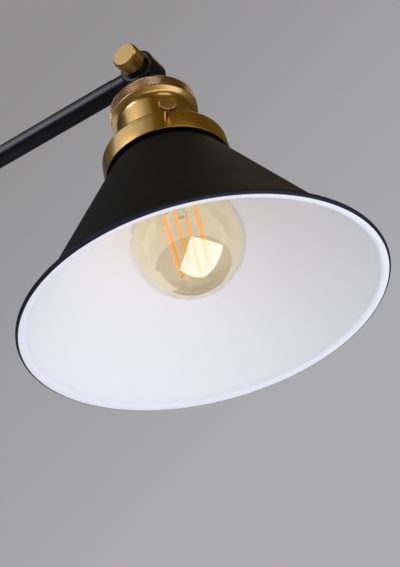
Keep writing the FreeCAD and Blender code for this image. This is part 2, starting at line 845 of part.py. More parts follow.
def make_shade():
    """Spun steel cone with a beaded rim and a short lipped neck."""
    inner_neck = shade_neck_r - shade_sheet
    inner_low = (cone_rim_r - cone_wall - inner_neck) / cone_slope
    lip_low = shade_neck_top - shade_lip
    shell = turned([
        (rim_bead_centre_r, 0), (rim_bead_centre_r, rim_flange),
        (cone_r(rim_flange), rim_flange, rim_fillet), (shade_neck_r, shade_neck_low, rim_fillet),
        (shade_neck_r, lip_low, fine_edge), (shade_lip_r, lip_low, fine_edge),
        (shade_lip_r, shade_neck_top, edge_round), (inner_neck, shade_neck_top),
        (inner_neck, inner_low, 2 * edge_round),
        (cone_r(edge_round) - cone_wall, edge_round, rim_inner_fillet)])
    bead = Part.makeTorus(rim_bead_centre_r, rim_bead_r, V(0, 0, rim_bead_r))
    return on_head(joined([shell, bead]))


def make_ring_nut():
    high = gallery_top - gallery_sheet - seat_gap
    low = high - ring_nut_height
    nut = fluted(ring_nut_r, ring_nut_teeth, ring_nut_knurl, low, high)
    return on_head(nut.cut(rod(socket_r + seat_gap, low, high)))


# Lamp holder

def thread_outline(crest, root, low):
    """Outer corners of a rolled screw shell, from its mouth upward."""
    corners = [(root, low)]
    for k in range(cap_turns):
        middle = low + cap_pitch * (k + first_crest)
        for r, share in ((root, -thread_root_share), (crest, -thread_crest_share),
                         (crest, thread_crest_share), (root, thread_root_share)):
            corners.append((r, middle + share * cap_pitch, edge_round))
    return corners


def make_socket_shell():
    """Rolled brass screw shell of the lamp holder, open below."""
    inner = [(c[0] + loose_gap,) + tuple(c[1:]) for c in thread_outline(cap_crest_r, cap_root_r, cap_bottom)]
    outer_r = cap_crest_r + loose_gap + shell_sheet
    corners = inner + [(cap_root_r + loose_gap, shell_top), (outer_r, shell_top), (outer_r, cap_bottom)]
    return on_head(turned(corners))


def make_socket_body():
    """Phenolic lamp holder with a floor under the contact and a seating flange."""
    bore = cap_crest_r + loose_gap + shell_sheet + seat_gap
    seat = socket_seat + seat_gap
    body = turned([(bore, socket_mouth), (socket_r, socket_mouth, edge_round), (socket_r, seat),
                   (socket_flange_r, seat), (socket_flange_r, socket_top, edge_round), (0, socket_top),
                   (0, socket_ceiling), (bore, socket_ceiling)])
    for side in (-1, 1):
        hole = rod(lead_r + seat_gap, socket_top - lead_seat, socket_top + cut_over)
        body = body.cut(turned_to(hole, V(0, 0, 1), V(0, side * post_offset, 0)))
    return on_head(body)


def make_socket_contact():
    """Brass spring tongue bent down from the floor to the bulb's tip."""
    high = socket_ceiling - seat_gap
    tongue = block((-tongue_back, -tongue_width / 2, high - tongue_sheet),
                   (tongue_front, tongue_width / 2, high))
    button = rod(contact_button_r, contact_height, high)
    return on_head(joined([tongue, button]))


def make_socket_terminals():
    """Two brass screw posts on top of the lamp holder."""
    low = socket_top + seat_gap
    post = rod(post_r, low, low + post_height)
    hole = rod(lead_r + seat_gap, low, low + post_height)
    posts = []
    for side in (-1, 1):
        posts.append(turned_to(post.cut(hole), V(0, 0, 1), V(0, side * post_offset, 0)))
    return on_head(Part.makeCompound(posts))


def head_lead(side):
    inside = side * lead_spread
    points = [(0, inside, nipple_high - lead_arch), (0, inside, nipple_low - lead_arch),
              (0, side * post_offset, socket_top + post_height + lead_arch),
              (0, side * post_offset, socket_top - lead_seat + seat_gap)]
    return on_head(bent_wire(points, lead_r, lead_bend / 2))


# Bulb

def make_bulb_glass():
    def envelope(inset):
        r = bulb_r - inset
        neck = bulb_neck_r - inset
        top = cap_bottom - seat_gap - inset
        tip = V(0, 0, bulb_centre - r)
        rise = bulb_neck_height - bulb_centre
        lean = math.atan2(rise, neck) - math.acos(r / math.hypot(neck, rise))

        def on_globe(angle):
            return V(r * math.cos(angle), 0, bulb_centre + r * math.sin(angle))

        join = on_globe(lean)
        corner = V(neck, 0, bulb_neck_height)
        end = V(neck, 0, top)
        first, middle, last = tangent_corner(join, corner, end, bulb_neck_round)
        edges = [Part.Arc(tip, on_globe((lean - math.pi / 2) / 2), join).toShape(),
                 Part.LineSegment(join, first).toShape(), Part.Arc(first, middle, last).toShape(),
                 Part.LineSegment(last, end).toShape(), Part.LineSegment(end, V(0, 0, top)).toShape(),
                 Part.LineSegment(V(0, 0, top), tip).toShape()]
        return Part.Face(Part.Wire(edges)).revolve(V(0, 0, 0), V(0, 0, 1), 360)
    return on_head(envelope(0.0).cut(envelope(bulb_wall)))


def make_bulb_cap():
    outer = thread_outline(cap_crest_r, cap_root_r, cap_bottom)
    inner = [(c[0] - cap_wall,) + tuple(c[1:]) for c in thread_outline(cap_crest_r, cap_root_r, cap_bottom)]
    corners = outer + [(cap_root_r, cap_top), (cap_root_r - cap_lip_in, cap_top + cap_lip),
                       (cap_root_r - cap_lip_in - cap_wall, cap_top + cap_lip - cap_wall),
                       (cap_root_r - cap_wall, cap_top)]
    return on_head(turned(corners + inner[::-1]))


def make_bulb_insulator():
    low = cap_top + cap_lip - cap_wall
    high = contact_tip - bulb_contact_height
    seat_r = cap_root_r - cap_lip_in - cap_wall
    return on_head(turned([(0, low), (seat_r - seat_gap, low),
                           (seat_r + cap_wall - seat_gap, low + edge_round),
                           (insulator_top_r, high), (0, high)]))


def make_bulb_contact():
    low = contact_tip - bulb_contact_height + seat_gap
    return on_head(turned([(0, low), (bulb_contact_r, low), (bulb_contact_r, contact_tip, edge_round),
                           (0, contact_tip)]))


def make_bulb_stem():
    """Glass mount: flare at the cap, pressed waist and a thin rod."""
    high = cap_bottom - bulb_wall - 2 * seat_gap
    return on_head(turned([(0, stem_tip), (stem_tip_r, stem_tip, edge_round),
                           (stem_tip_r, stem_tip + stem_rod, stem_round),
                           (stem_r - stem_tip_r, stem_tip + stem_shoulder, stem_round),
                           (stem_r, high - stem_flare, stem_round),
                           (bulb_neck_r - bulb_wall - hole_gap, high), (0, high)]))


def filament_ends():
    ends = []
    for k in range(filament_count):
        angle = math.radians(filament_azimuth + 360.0 * k / filament_count)
        direction = V(math.cos(angle), math.sin(angle), 0)
        ends.append((direction * filament_low_r + V(0, 0, filament_low),
                     direction * filament_high_r + V(0, 0, filament_high)))
    return ends


def make_filaments():
    sticks = []
    for low, high in filament_ends():
        run = high - low
        sticks.append(turned_to(rod(filament_r, 0, run.Length), run, low))
    return on_head(Part.makeCompound(sticks))


def make_bulb_wires():
    """Support wires from the stem to the filaments' upper ends, and links between the lower ends."""
    ends = filament_ends()
    pieces = []
    for low, high in ends:
        outward_run = V(high.x, high.y, 0).normalize()
        root = outward_run * (stem_tip_r + wire_r) + V(0, 0, filament_high + wire_rise)
        run = high + V(0, 0, 2 * wire_r) - root
        pieces.append(turned_to(rod(wire_r, 0, run.Length), run, root))
    for k in range(0, filament_count, 2):
        start = ends[k][0] - V(0, 0, 2 * wire_r)
        run = ends[k + 1][0] - ends[k][0]
        pieces.append(turned_to(rod(wire_r, 0, run.Length), run, start))
    return on_head(Part.makeCompound(pieces))


# Leads inside the canopy

def make_leads():
    start_x = canopy_depth - shank_tail + cut_over
    turn_x = bracket_sheet + lead_turn
    low_z = -lead_spread * lead_low_share
    neutral_y = pole_spacing / 2
    switch_top = -switch_drop + switch_height / 2
    switch_x = canopy_inside - switch_depth / 2
    into = terminal_floor + lead_entry
    below_block = terminal_floor - block_run
    above_switch = switch_top + switch_run
    neutral = [(start_x, 0, lead_spread), (turn_x, 0, lead_spread),
               (turn_x, neutral_y - lead_r, neutral_bend),
               (pole_x, neutral_y, below_block), (pole_x, neutral_y, into)]
    switched = [(start_x, -lead_spread, low_z), (turn_x, -lead_spread, low_z),
                (turn_x + lead_step, 0, -switched_bend), (switch_x, switch_entry_in, above_switch),
                (switch_x, switch_entry_in, switch_top + seat_gap)]
    live = [(pole_x, -neutral_y, into), (pole_x, -neutral_y, below_block),
            (turn_x + lead_step, -live_side, live_bend_high),
            (turn_x + lead_step, -live_side, -live_bend_low),
            (switch_x, -switch_entry_out, above_switch), (switch_x, -switch_entry_out, switch_top + seat_gap)]
    ring_x = bracket_sheet + seat_gap
    wire_x = ring_x + lead_r + earth_lift
    ring = along_x(tube(earth_ring_r, stud_r + seat_gap, ring_x, ring_x + earth_ring_sheet), earth_screw_y)
    earth = [(start_x, lead_spread, low_z), (turn_x - lead_step, lead_spread, low_z),
             (wire_x, earth_screw_y - earth_run, -lead_spread),
             (wire_x, earth_screw_y - earth_head_r - earth_lap, 0)]
    return {"neutral_lead": bent_wire(neutral, lead_r, lead_bend),
            "switched_lead": bent_wire(switched, lead_r, lead_bend),
            "live_lead": bent_wire(live, lead_r, lead_bend),
            "earth_lead": joined([bent_wire(earth, lead_r, lead_bend), ring])}


# Assembly

nodes["wall_bracket"] = make_wall_bracket()
nodes["canopy"] = make_canopy()
nodes["canopy_studs"] = make_canopy_studs()
nodes["cap_nuts"] = make_cap_nuts()
nodes["earth_screw"] = make_earth_screw()
nodes["terminal_block"] = make_terminal_block()
nodes["terminal_sleeves"] = make_terminal_sleeves()
nodes["terminal_screws"] = make_terminal_screws()
nodes.update(make_leads())
nodes["switch_body"] = make_switch_body()
nodes["switch_nut"] = make_switch_nut()
nodes["switch_spindle"] = make_switch_spindle()
nodes["switch_knob"] = make_switch_knob()
nodes["wall_boss"] = make_wall_boss()
nodes["boss_washer"] = make_boss_washer()
nodes["boss_nut"] = make_boss_nut()
nodes["swing_bolt"] = on_joint(joint_bolt(), swing_pivot, down, outward)
nodes["swing_washer"] = on_joint(joint_washer(), swing_pivot, down, outward)
nodes["swing_knob"] = on_joint(clamp_knob(), swing_pivot, down, outward)
nodes["link_knuckle"] = make_link()
nodes["tilt_bolt"] = on_joint(joint_bolt(), tilt_pivot, sideways, outward)
nodes["tilt_washer"] = on_joint(joint_washer(), tilt_pivot, sideways, outward)
nodes["tilt_knob"] = on_joint(clamp_knob(), tilt_pivot, sideways, outward)
nodes["arm_rear_end"] = make_arm_end(tilt_pivot, outward, -1)
nodes["arm_tube"] = make_arm_tube()
nodes["arm_front_end"] = make_arm_end(head_pivot, inward, 1)
nodes["arm_grub_screws"] = make_arm_grubs()
nodes["arm_flex"] = make_arm_flex()
nodes["head_bolt"] = on_joint(joint_bolt(), head_pivot, sideways, outward)
nodes["head_washer"] = on_joint(joint_washer(), head_pivot, sideways, outward)
nodes["head_knob"] = on_joint(clamp_knob(), head_pivot, sideways, outward)
nodes["head_swivel"] = make_head_swivel()
nodes["nipple"] = make_nipple()
nodes["nipple_nut"] = make_nipple_nut()
nodes["cup_cap"] = make_cup_cap()
nodes["knurled_ring"] = make_knurled_ring()
nodes["cup_body"] = make_cup_body()
nodes["gallery"] = make_gallery()
for k in range(screw_count):
    nodes["gallery_screw_%d" % (k + 1)] = make_gallery_screw(k)
nodes["shade"] = make_shade()
nodes["shade_ring_nut"] = make_ring_nut()
nodes["socket_body"] = make_socket_body()
nodes["socket_shell"] = make_socket_shell()
nodes["socket_contact"] = make_socket_contact()
nodes["socket_terminals"] = make_socket_terminals()
nodes["lamp_live_lead"] = head_lead(-1)
nodes["lamp_neutral_lead"] = head_lead(1)
nodes["bulb_glass"] = make_bulb_glass()
nodes["bulb_cap"] = make_bulb_cap()
nodes["bulb_insulator"] = make_bulb_insulator()
nodes["bulb_contact"] = make_bulb_contact()
nodes["bulb_stem"] = make_bulb_stem()
nodes["bulb_filaments"] = make_filaments()
nodes["bulb_wires"] = make_bulb_wires()

os.makedirs("parts", exist_ok=True)
for name, shape in nodes.items():
    shape.exportStep("parts/%s.step" % name)
    if not shape.isValid() or not shape.Solids:
        print("not a valid solid:", name)
print(len(nodes), "nodes written")
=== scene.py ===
"""Swing arm wall light: black cone shade, brass cup and gallery, amber globe bulb.

The pieces are given in millimetres, in the lamp's own frame: z up the lamp's axis, zero in the
plane of the shade's rim. Camera and lamps are given in metres, in the shared frame.
"""
import json
import math

import bpy
from mathutils import Matrix, Vector


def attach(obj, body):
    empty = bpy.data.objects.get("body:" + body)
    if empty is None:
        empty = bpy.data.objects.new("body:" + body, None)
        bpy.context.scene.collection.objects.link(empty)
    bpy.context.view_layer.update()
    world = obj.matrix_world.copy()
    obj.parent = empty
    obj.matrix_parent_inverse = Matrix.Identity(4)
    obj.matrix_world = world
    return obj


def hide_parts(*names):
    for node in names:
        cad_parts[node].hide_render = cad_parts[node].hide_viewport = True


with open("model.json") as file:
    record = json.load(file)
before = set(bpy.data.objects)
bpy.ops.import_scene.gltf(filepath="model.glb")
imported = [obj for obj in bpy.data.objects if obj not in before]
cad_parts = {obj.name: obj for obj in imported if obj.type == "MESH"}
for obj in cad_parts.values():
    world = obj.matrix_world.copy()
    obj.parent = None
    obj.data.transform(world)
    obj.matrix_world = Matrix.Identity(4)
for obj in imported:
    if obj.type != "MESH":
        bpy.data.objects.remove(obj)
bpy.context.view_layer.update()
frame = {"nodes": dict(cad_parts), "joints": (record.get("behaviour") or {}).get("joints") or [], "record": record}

MM = 0.001


# The lamp's own frame, read from the joints

PIVOT_HEIGHT = 174.684  # from the rim's plane up to the head joint

joints = {joint["name"]: joint for joint in frame["joints"]}
head_pivot = Vector(joints["head_tilt"]["pos_m"])
lamp_axis = -Vector(joints["bulb_turn"]["axis"]).normalized()
rim_centre = head_pivot - lamp_axis * (PIVOT_HEIGHT * MM)
lean = math.atan2(-lamp_axis.x, lamp_axis.z)
LAMP = Matrix.Translation(rim_centre) @ Matrix.Rotation(-lean, 4, "Y")


# Mesh helpers

ROUNDING_SHARE = 0.49  # of the shorter side at a corner, the most that its rounding takes
SHARP_ANGLE = math.radians(35)
ON_AXIS = 1e-7
STEPS_PER_TOOTH = 8


def rounded(corners, steps=6):
    """Outline in metres from corners in millimetres, (a, b) or with a radius (a, b, radius).

    The first and last corners stay sharp."""
    points = [Vector(corner[:2]) for corner in corners]
    outline = []
    for i, corner in enumerate(corners):
        here = points[i]
        if len(corner) < 3 or i in (0, len(corners) - 1):
            outline.append(here * MM)
            continue
        before = points[i - 1] - here
        after = points[i + 1] - here
        half = 0.5 * before.angle(after)
        room = ROUNDING_SHARE * min(before.length, after.length) * math.tan(half)
        radius = min(corner[2], room)
        reach = radius / math.tan(half)
        start = here + before.normalized() * reach
        end = here + after.normalized() * reach
        inward = (before.normalized() + after.normalized()).normalized()
        centre = here + inward * (radius / math.sin(half))
        first = start - centre
        turn = first.angle_signed(end - centre)
        for k in range(steps + 1):
            arm = first.copy()
            arm.rotate(Matrix.Rotation(-turn * k / steps, 2))
            outline.append((centre + arm) * MM)
    return outline


def in_metres(points):
    """Outline in metres from sharp corners in millimetres."""
    return [Vector(point) * MM for point in points]


def new_piece(name, vertices, faces):
    mesh = bpy.data.meshes.new(name)
    mesh.from_pydata(vertices, [], faces)
    mesh.validate()
    mesh.update()
    mesh.shade_smooth()
    mesh.set_sharp_from_angle(angle=SHARP_ANGLE)
    piece = bpy.data.objects.new(name, mesh)
    bpy.context.scene.collection.objects.link(piece)
    return piece


def lathe(name, outline, around=192, radius_at=None, place=LAMP):
    """Piece turned on the z axis of its place from a closed outline of (radius, height).

    Where the piece isn't round, radius_at(i, point, angle) gives the radius at point i. The faces
    come band by band: those between points i and i + 1 are numbers i * around and on."""
    rings = []
    vertices = []
    for i, point in enumerate(outline):
        if point.x < ON_AXIS:
            rings.append([len(vertices)] * around)
            vertices.append(place @ Vector((0, 0, point.y)))
            continue
        ring = []
        for k in range(around):
            angle = 2 * math.pi * k / around
            r = point.x if radius_at is None else radius_at(i, point, angle)
            ring.append(len(vertices))
            vertices.append(place @ Vector((r * math.cos(angle), r * math.sin(angle), point.y)))
        rings.append(ring)
    faces = []
    for low, high in zip(rings, rings[1:] + rings[:1]):
        for k in range(around):
            after = (k + 1) % around
            face = [low[k], low[after], high[after], high[k]]
            face = [v for n, v in enumerate(face) if v not in face[:n]]
            if len(face) > 2:
                faces.append(face)
    return new_piece(name, vertices, faces)


def swept(name, paths, radius, around=10):
    """Round wires along paths of points in millimetres, all in one piece, with flat ends."""
    no_path_runs_here = Vector((0.31, 0.22, 0.93))  # so its cross product with a run is sound
    vertices = []
    faces = []
    for path in paths:
        first = len(vertices)
        for n, point in enumerate(path):
            run = path[min(n + 1, len(path) - 1)] - path[max(n - 1, 0)]
            side = run.cross(no_path_runs_here).normalized()
            over = run.cross(side).normalized()
            for step in range(around):
                angle = 2 * math.pi * step / around
                spoke = side * math.cos(angle) + over * math.sin(angle)
                vertices.append(LAMP @ ((point + spoke * radius) * MM))
        for n in range(len(path) - 1):
            for step in range(around):
                a = first + n * around + step
                b = first + n * around + (step + 1) % around
                faces.append((a, b, b + around, a + around))
        last = first + (len(path) - 1) * around
        faces.append(tuple(first + step for step in reversed(range(around))))
        faces.append(tuple(last + step for step in range(around)))
    return new_piece(name, vertices, faces)


def ridge(place):
    """Height of a knurl, counted in teeth along it: 1 at whole numbers, 0 half way between."""
    return 2 * abs(place % 1.0 - 0.5)


def paint(piece, *materials):
    piece.data.materials.clear()
    for material in materials:
        piece.data.materials.append(material)


def finish_piece(piece, body, slot, replaced, *materials):
    paint(piece, *materials)
    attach(piece, body)
    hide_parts(*replaced)


# Node helpers. A value is a number, a colour of three numbers or the output of another node.

def feed(tree, socket, value):
    if isinstance(value, bpy.types.NodeSocket):
        tree.links.new(value, socket)
    elif isinstance(value, (int, float)):
        socket.default_value = value
    else:
        socket.default_value = (*value, 1.0)


def feed_all(tree, node, values):
    for name, value in values.items():
        feed(tree, node.inputs[name], value)


def new_material(name):
    material = bpy.data.materials.new(name)
    material.use_nodes = True
    tree = material.node_tree
    return material, tree, tree.nodes["Principled BSDF"]


def noise_of(tree, vector, scale, detail=4.0, roughness=0.55):
    noise = tree.nodes.new("ShaderNodeTexNoise")
    feed_all(tree, noise, {"Vector": vector, "Scale": scale, "Detail": detail,
                           "Roughness": roughness})
    return noise.outputs["Fac"]


def ranged(tree, value, low, high, from_low=0.3, from_high=0.7):
    """Value carried from one range to another. Noise lies mostly between 0.3 and 0.7."""
    node = tree.nodes.new("ShaderNodeMapRange")
    feed_all(tree, node, {"Value": value, "From Min": from_low, "From Max": from_high,
                          "To Min": low, "To Max": high})
    return node.outputs["Result"]


def blended(tree, factor, first, second, blend_type="MIX"):
    node = tree.nodes.new("ShaderNodeMix")
    node.data_type = "RGBA"
    node.blend_type = blend_type
    feed_all(tree, node, {"Factor": factor, "A": first, "B": second})
    return node.outputs["Result"]


def bumped(tree, height, strength, distance):
    node = tree.nodes.new("ShaderNodeBump")
    feed_all(tree, node, {"Height": height, "Strength": strength, "Distance": distance})
    return node.outputs["Normal"]


def parts_of(tree, vector):
    node = tree.nodes.new("ShaderNodeSeparateXYZ")
    tree.links.new(vector, node.inputs["Vector"])
    return node.outputs["X"], node.outputs["Y"], node.outputs["Z"]


def vector_of(tree, **parts):
    node = tree.nodes.new("ShaderNodeCombineXYZ")
    feed_all(tree, node, parts)
    return node.outputs["Vector"]


def object_point(tree):
    return tree.nodes.new("ShaderNodeTexCoord").outputs["Object"]


def lamp_point(tree):
    """The shading point in the lamp's own frame, in metres."""
    node = tree.nodes.new("ShaderNodeMapping")
    node.vector_type = "TEXTURE"
    node.inputs["Location"].default_value = rim_centre
    node.inputs["Rotation"].default_value = (0.0, -lean, 0.0)
    tree.links.new(object_point(tree), node.inputs["Vector"])
    return node.outputs["Vector"]


def stretched(tree, vector, scale):
    node = tree.nodes.new("ShaderNodeMapping")
    node.inputs["Scale"].default_value = scale
    tree.links.new(vector, node.inputs["Vector"])
    return node.outputs["Vector"]


def ray_is(tree, *kinds):
    """1 for a ray of one of these kinds, such as Camera or Diffuse, and 0 for any other."""
    path = tree.nodes.new("ShaderNodeLightPath")
    is_one = path.outputs[f"Is {kinds[0]} Ray"]
    for kind in kinds[1:]:
        either = tree.nodes.new("ShaderNodeMath")
        either.operation = "MAXIMUM"
        tree.links.new(is_one, either.inputs[0])
        tree.links.new(path.outputs[f"Is {kind} Ray"], either.inputs[1])
        is_one = either.outputs["Value"]
    return is_one


def chosen(tree, factor, first, second):
    """The first shader where the factor is 0, the second where it is 1."""
    node = tree.nodes.new("ShaderNodeMixShader")
    tree.links.new(factor, node.inputs["Fac"])
    tree.links.new(first, node.inputs[1])
    tree.links.new(second, node.inputs[2])
    return node.outputs["Shader"]


# Materials

GRAIN_DEPTH = 0.0004
FINE_GRAIN_DEPTH = 0.0002
# The rim's tone is painted light: a painted highlight on the black, painted shade on the white
RIM_PAINTED_LIGHT_BAND = (0.0015, 0.0045)  # metres up the axis where the rim's tone gives way to the wall's


def painted(name, colour, roughness, spread, grain, bump, cloudiness, gloss, rim_painted_light=None):
    """Powder coat: fine orange peel, faint cloudiness, and painted light on the rim if a tone is given for it."""
    material, tree, shader = new_material(name)
    point = object_point(tree)
    cloud = noise_of(tree, point, scale=35.0)
    peel = noise_of(tree, point, scale=grain, detail=2.0)
    tone = blended(tree, cloud, colour, [cloudiness * c for c in colour])
    # Painted light on the beaded rim, standing in for how light falls there
    if rim_painted_light:
        height = parts_of(tree, lamp_point(tree))[2]
        tone = blended(tree, ranged(tree, height, 0.0, 1.0, *RIM_PAINTED_LIGHT_BAND), rim_painted_light, tone)
    feed_all(tree, shader, {
        "Base Color": tone,
        "Roughness": ranged(tree, cloud, roughness - spread, roughness + spread),
        "Normal": bumped(tree, peel, bump, GRAIN_DEPTH),
        "Specular IOR Level": gloss,
    })
    return material


def turned_metal(name, dark, light, roughness, knurl=None):
    """Satin metal turned on a lathe: fine lines round the axis, slow changes of tone.

    Where knurl gives the radius of its grooves and of its points, in metres, the grooves get
    painted shade and the points a painted highlight, which also stands for tips worn bright."""
    # Painted shade in the knurl's grooves and a painted highlight on its points, partly worn tips
    groove_painted_shade, point_painted_highlight = (0.6, 0.5, 0.3), (1.7, 2.8, 8.0)
    cloud_share, line_share, spread = 0.35, 0.65, 0.06
    round_the_axis = (1.0, 1.0, 14.0)
    material, tree, shader = new_material(name)
    point = lamp_point(tree)
    x, y, z = parts_of(tree, point)
    radius = tree.nodes.new("ShaderNodeVectorMath")
    radius.operation = "LENGTH"
    tree.links.new(vector_of(tree, X=x, Y=y), radius.inputs[0])
    rings = vector_of(tree, X=radius.outputs["Value"], Z=z)
    lines = noise_of(tree, rings, scale=1150.0, detail=3.0, roughness=0.7)
    scratches = noise_of(tree, stretched(tree, point, round_the_axis), scale=160.0, detail=3.0)
    cloud = noise_of(tree, point, scale=28.0, detail=3.0)
    mixed = tree.nodes.new("ShaderNodeMath")
    mixed.operation = "MULTIPLY_ADD"
    mixed.inputs[1].default_value = cloud_share
    tree.links.new(cloud, mixed.inputs[0])
    tree.links.new(ranged(tree, lines, 0.0, line_share), mixed.inputs[2])
    tone = blended(tree, mixed.outputs["Value"], dark, light)
    if knurl:
        # Painted shade in the grooves, painted highlight on the points
        groove_shade_to_point_highlight = ranged(tree, radius.outputs["Value"], 0.0, 1.0, *knurl)
        tone = blended(tree, 1.0, tone, blended(tree, groove_shade_to_point_highlight, groove_painted_shade, point_painted_highlight), "MULTIPLY")
    feed_all(tree, shader, {
        "Base Color": tone,
        "Metallic": 1.0,
        "Roughness": ranged(tree, scratches, roughness - spread, roughness + spread),
        "Normal": bumped(tree, lines, strength=0.09, distance=FINE_GRAIN_DEPTH),
        "Coat Weight": 1.0,
        "Coat Roughness": 0.18,
        "Coat IOR": 2.0,
    })
    return material


def grained(name, colour, shade, roughness, spread, clouds, grain, bump):
    """Plain material with a fine grain, whose tone and gloss vary a little from cloud to cloud."""
    material, tree, shader = new_material(name)
    point = object_point(tree)
    cloud = noise_of(tree, point, scale=clouds)
    feed_all(tree, shader, {
        "Base Color": blended(tree, cloud, [shade * c for c in colour], colour),
        "Roughness": ranged(tree, cloud, roughness - spread, roughness + spread),
        "Normal": bumped(tree, noise_of(tree, point, scale=grain), bump, FINE_GRAIN_DEPTH),
    })
    return material


def plated(name, colour, roughness):
    """Plated or bright metal."""
    material = grained(name, colour, shade=0.85, roughness=roughness, spread=0.08,
                       clouds=220.0, grain=900.0, bump=0.05)
    material.node_tree.nodes["Principled BSDF"].inputs["Metallic"].default_value = 1.0
    return material


def moulded(name, colour, roughness, bump=0.08):
    """Moulded plastic or vinyl."""
    return grained(name, colour, shade=0.88, roughness=roughness, spread=0.06,
                   clouds=120.0, grain=1800.0, bump=bump)


def with_painted_glow(name, colour, glow, strength):
    """Phosphor with a painted glow: a faint emission, though no lamp lights the bulb."""
    material = moulded(name, colour, roughness=0.5, bump=0.2)
    feed_all(material.node_tree, material.node_tree.nodes["Principled BSDF"],
             {"Emission Color": glow, "Emission Strength": strength})
    return material


def glass(name, tint, ior, coat, shadow_tint):
    """Tinted glass with faint waves. It lets lamp light through, dyed with the shadow tint."""
    material, tree, shader = new_material(name)
    waves = noise_of(tree, object_point(tree), scale=60.0, detail=1.0)
    feed_all(tree, shader, {
        "Base Color": tint,
        "Roughness": 0.0,
        "IOR": ior,
        "Transmission Weight": 1.0,
        "Coat Weight": coat,
        "Coat Roughness": 0.0,
        "Coat IOR": 1.88,
        "Normal": bumped(tree, waves, strength=0.03, distance=GRAIN_DEPTH),
    })
    clear = tree.nodes.new("ShaderNodeBsdfTransparent")
    feed(tree, clear.inputs["Color"], shadow_tint)
    surface = chosen(tree, ray_is(tree, "Shadow", "Diffuse"), shader.outputs["BSDF"],
                     clear.outputs["BSDF"])
    tree.links.new(surface, tree.nodes["Material Output"].inputs["Surface"])
    return material


def lifted(material, colour):
    """The camera sees the paint and its shadows in a paler tone, other rays the paint alone."""
    tree = material.node_tree
    coat = tree.nodes["Principled BSDF"].outputs["BSDF"]
    glow = tree.nodes.new("ShaderNodeEmission")
    feed(tree, glow.inputs["Color"], colour)
    paler = tree.nodes.new("ShaderNodeAddShader")
    tree.links.new(coat, paler.inputs[0])
    tree.links.new(glow.outputs["Emission"], paler.inputs[1])
    surface = chosen(tree, ray_is(tree, "Camera"), coat, paler.outputs["Shader"])
    tree.links.new(surface, tree.nodes["Material Output"].inputs["Surface"])


black_paint = painted("black_paint", (0.0020, 0.0018, 0.0045), roughness=0.30, spread=0.03,
                      grain=1400.0, bump=0.05, cloudiness=1.3, gloss=0.4)
# Bluish painted highlight on the black rim
shade_black = painted("shade_black", (0.0028, 0.0027, 0.0024), roughness=0.60, spread=0.05,
                      grain=1400.0, bump=0.10, cloudiness=1.3, gloss=0.17,
                      rim_painted_light=(0.008, 0.007, 0.020))
# Painted shade on the white rim, a little darker and bluer than its wall
shade_white = painted("shade_white", (0.82, 0.832, 0.858), roughness=0.48, spread=0.04,
                      grain=900.0, bump=0.05, cloudiness=1.015, gloss=0.0,
                      rim_painted_light=(0.79, 0.80, 0.85))
brushed_brass = turned_metal("brushed_brass", dark=(0.34, 0.175, 0.005),
                             light=(0.56, 0.305, 0.012), roughness=0.33)
knurled_brass = turned_metal("knurled_brass", dark=(0.42, 0.21, 0.02),
                             light=(0.52, 0.26, 0.03), roughness=0.28, knurl=(0.02498, 0.02516))
rose_brass = plated("rose_brass", (0.78, 0.48, 0.21), 0.30)
nickel = plated("nickel", (0.68, 0.66, 0.62), 0.24)
amber_glass = glass("amber_glass", (1.0, 0.935, 0.75), ior=1.46, coat=1.0,
                    shadow_tint=(1.0, 0.97, 0.91))
clear_glass = glass("clear_glass", (0.98, 0.97, 0.95), ior=1.12, coat=0.0,
                    shadow_tint=(0.98, 0.97, 0.95))

BY_SLOT = {
    "black_paint": black_paint,
    "shade_enamel": shade_black,
    "brushed_brass": brushed_brass,
    "raw_brass": plated("raw_brass", (0.72, 0.53, 0.24), 0.25),
    "rose_brass": rose_brass,
    "plated_steel": plated("plated_steel", (0.60, 0.61, 0.63), 0.30),
    "nickel_plate": nickel,
    "white_nylon": moulded("white_nylon", (0.78, 0.78, 0.74), 0.45),
    "dark_plastic": moulded("dark_plastic", (0.035, 0.028, 0.025), 0.4),
    "black_insulation": moulded("black_insulation", (0.02, 0.02, 0.02), 0.45),
    "brown_insulation": moulded("brown_insulation", (0.16, 0.07, 0.035), 0.42),
    "blue_insulation": moulded("blue_insulation", (0.04, 0.14, 0.45), 0.42),
    "green_insulation": moulded("green_insulation", (0.07, 0.32, 0.09), 0.42),
    "amber_glass": amber_glass,
    "clear_glass": clear_glass,
    "black_glass": moulded("black_glass", (0.02, 0.02, 0.022), 0.2),
    # The filaments get a painted glow
    "amber_phosphor": with_painted_glow("phosphor", (1.0, 0.45, 0.03), glow=(1.0, 0.36, 0.0),
                              strength=0.55),
}


def dress_cad_nodes():
    """Every CAD node gets the material of its slot in the record."""
    for part in frame["record"]["subparts"]:
        paint(frame["nodes"][part["node"]], BY_SLOT[part["material_slot"]])


# The shade

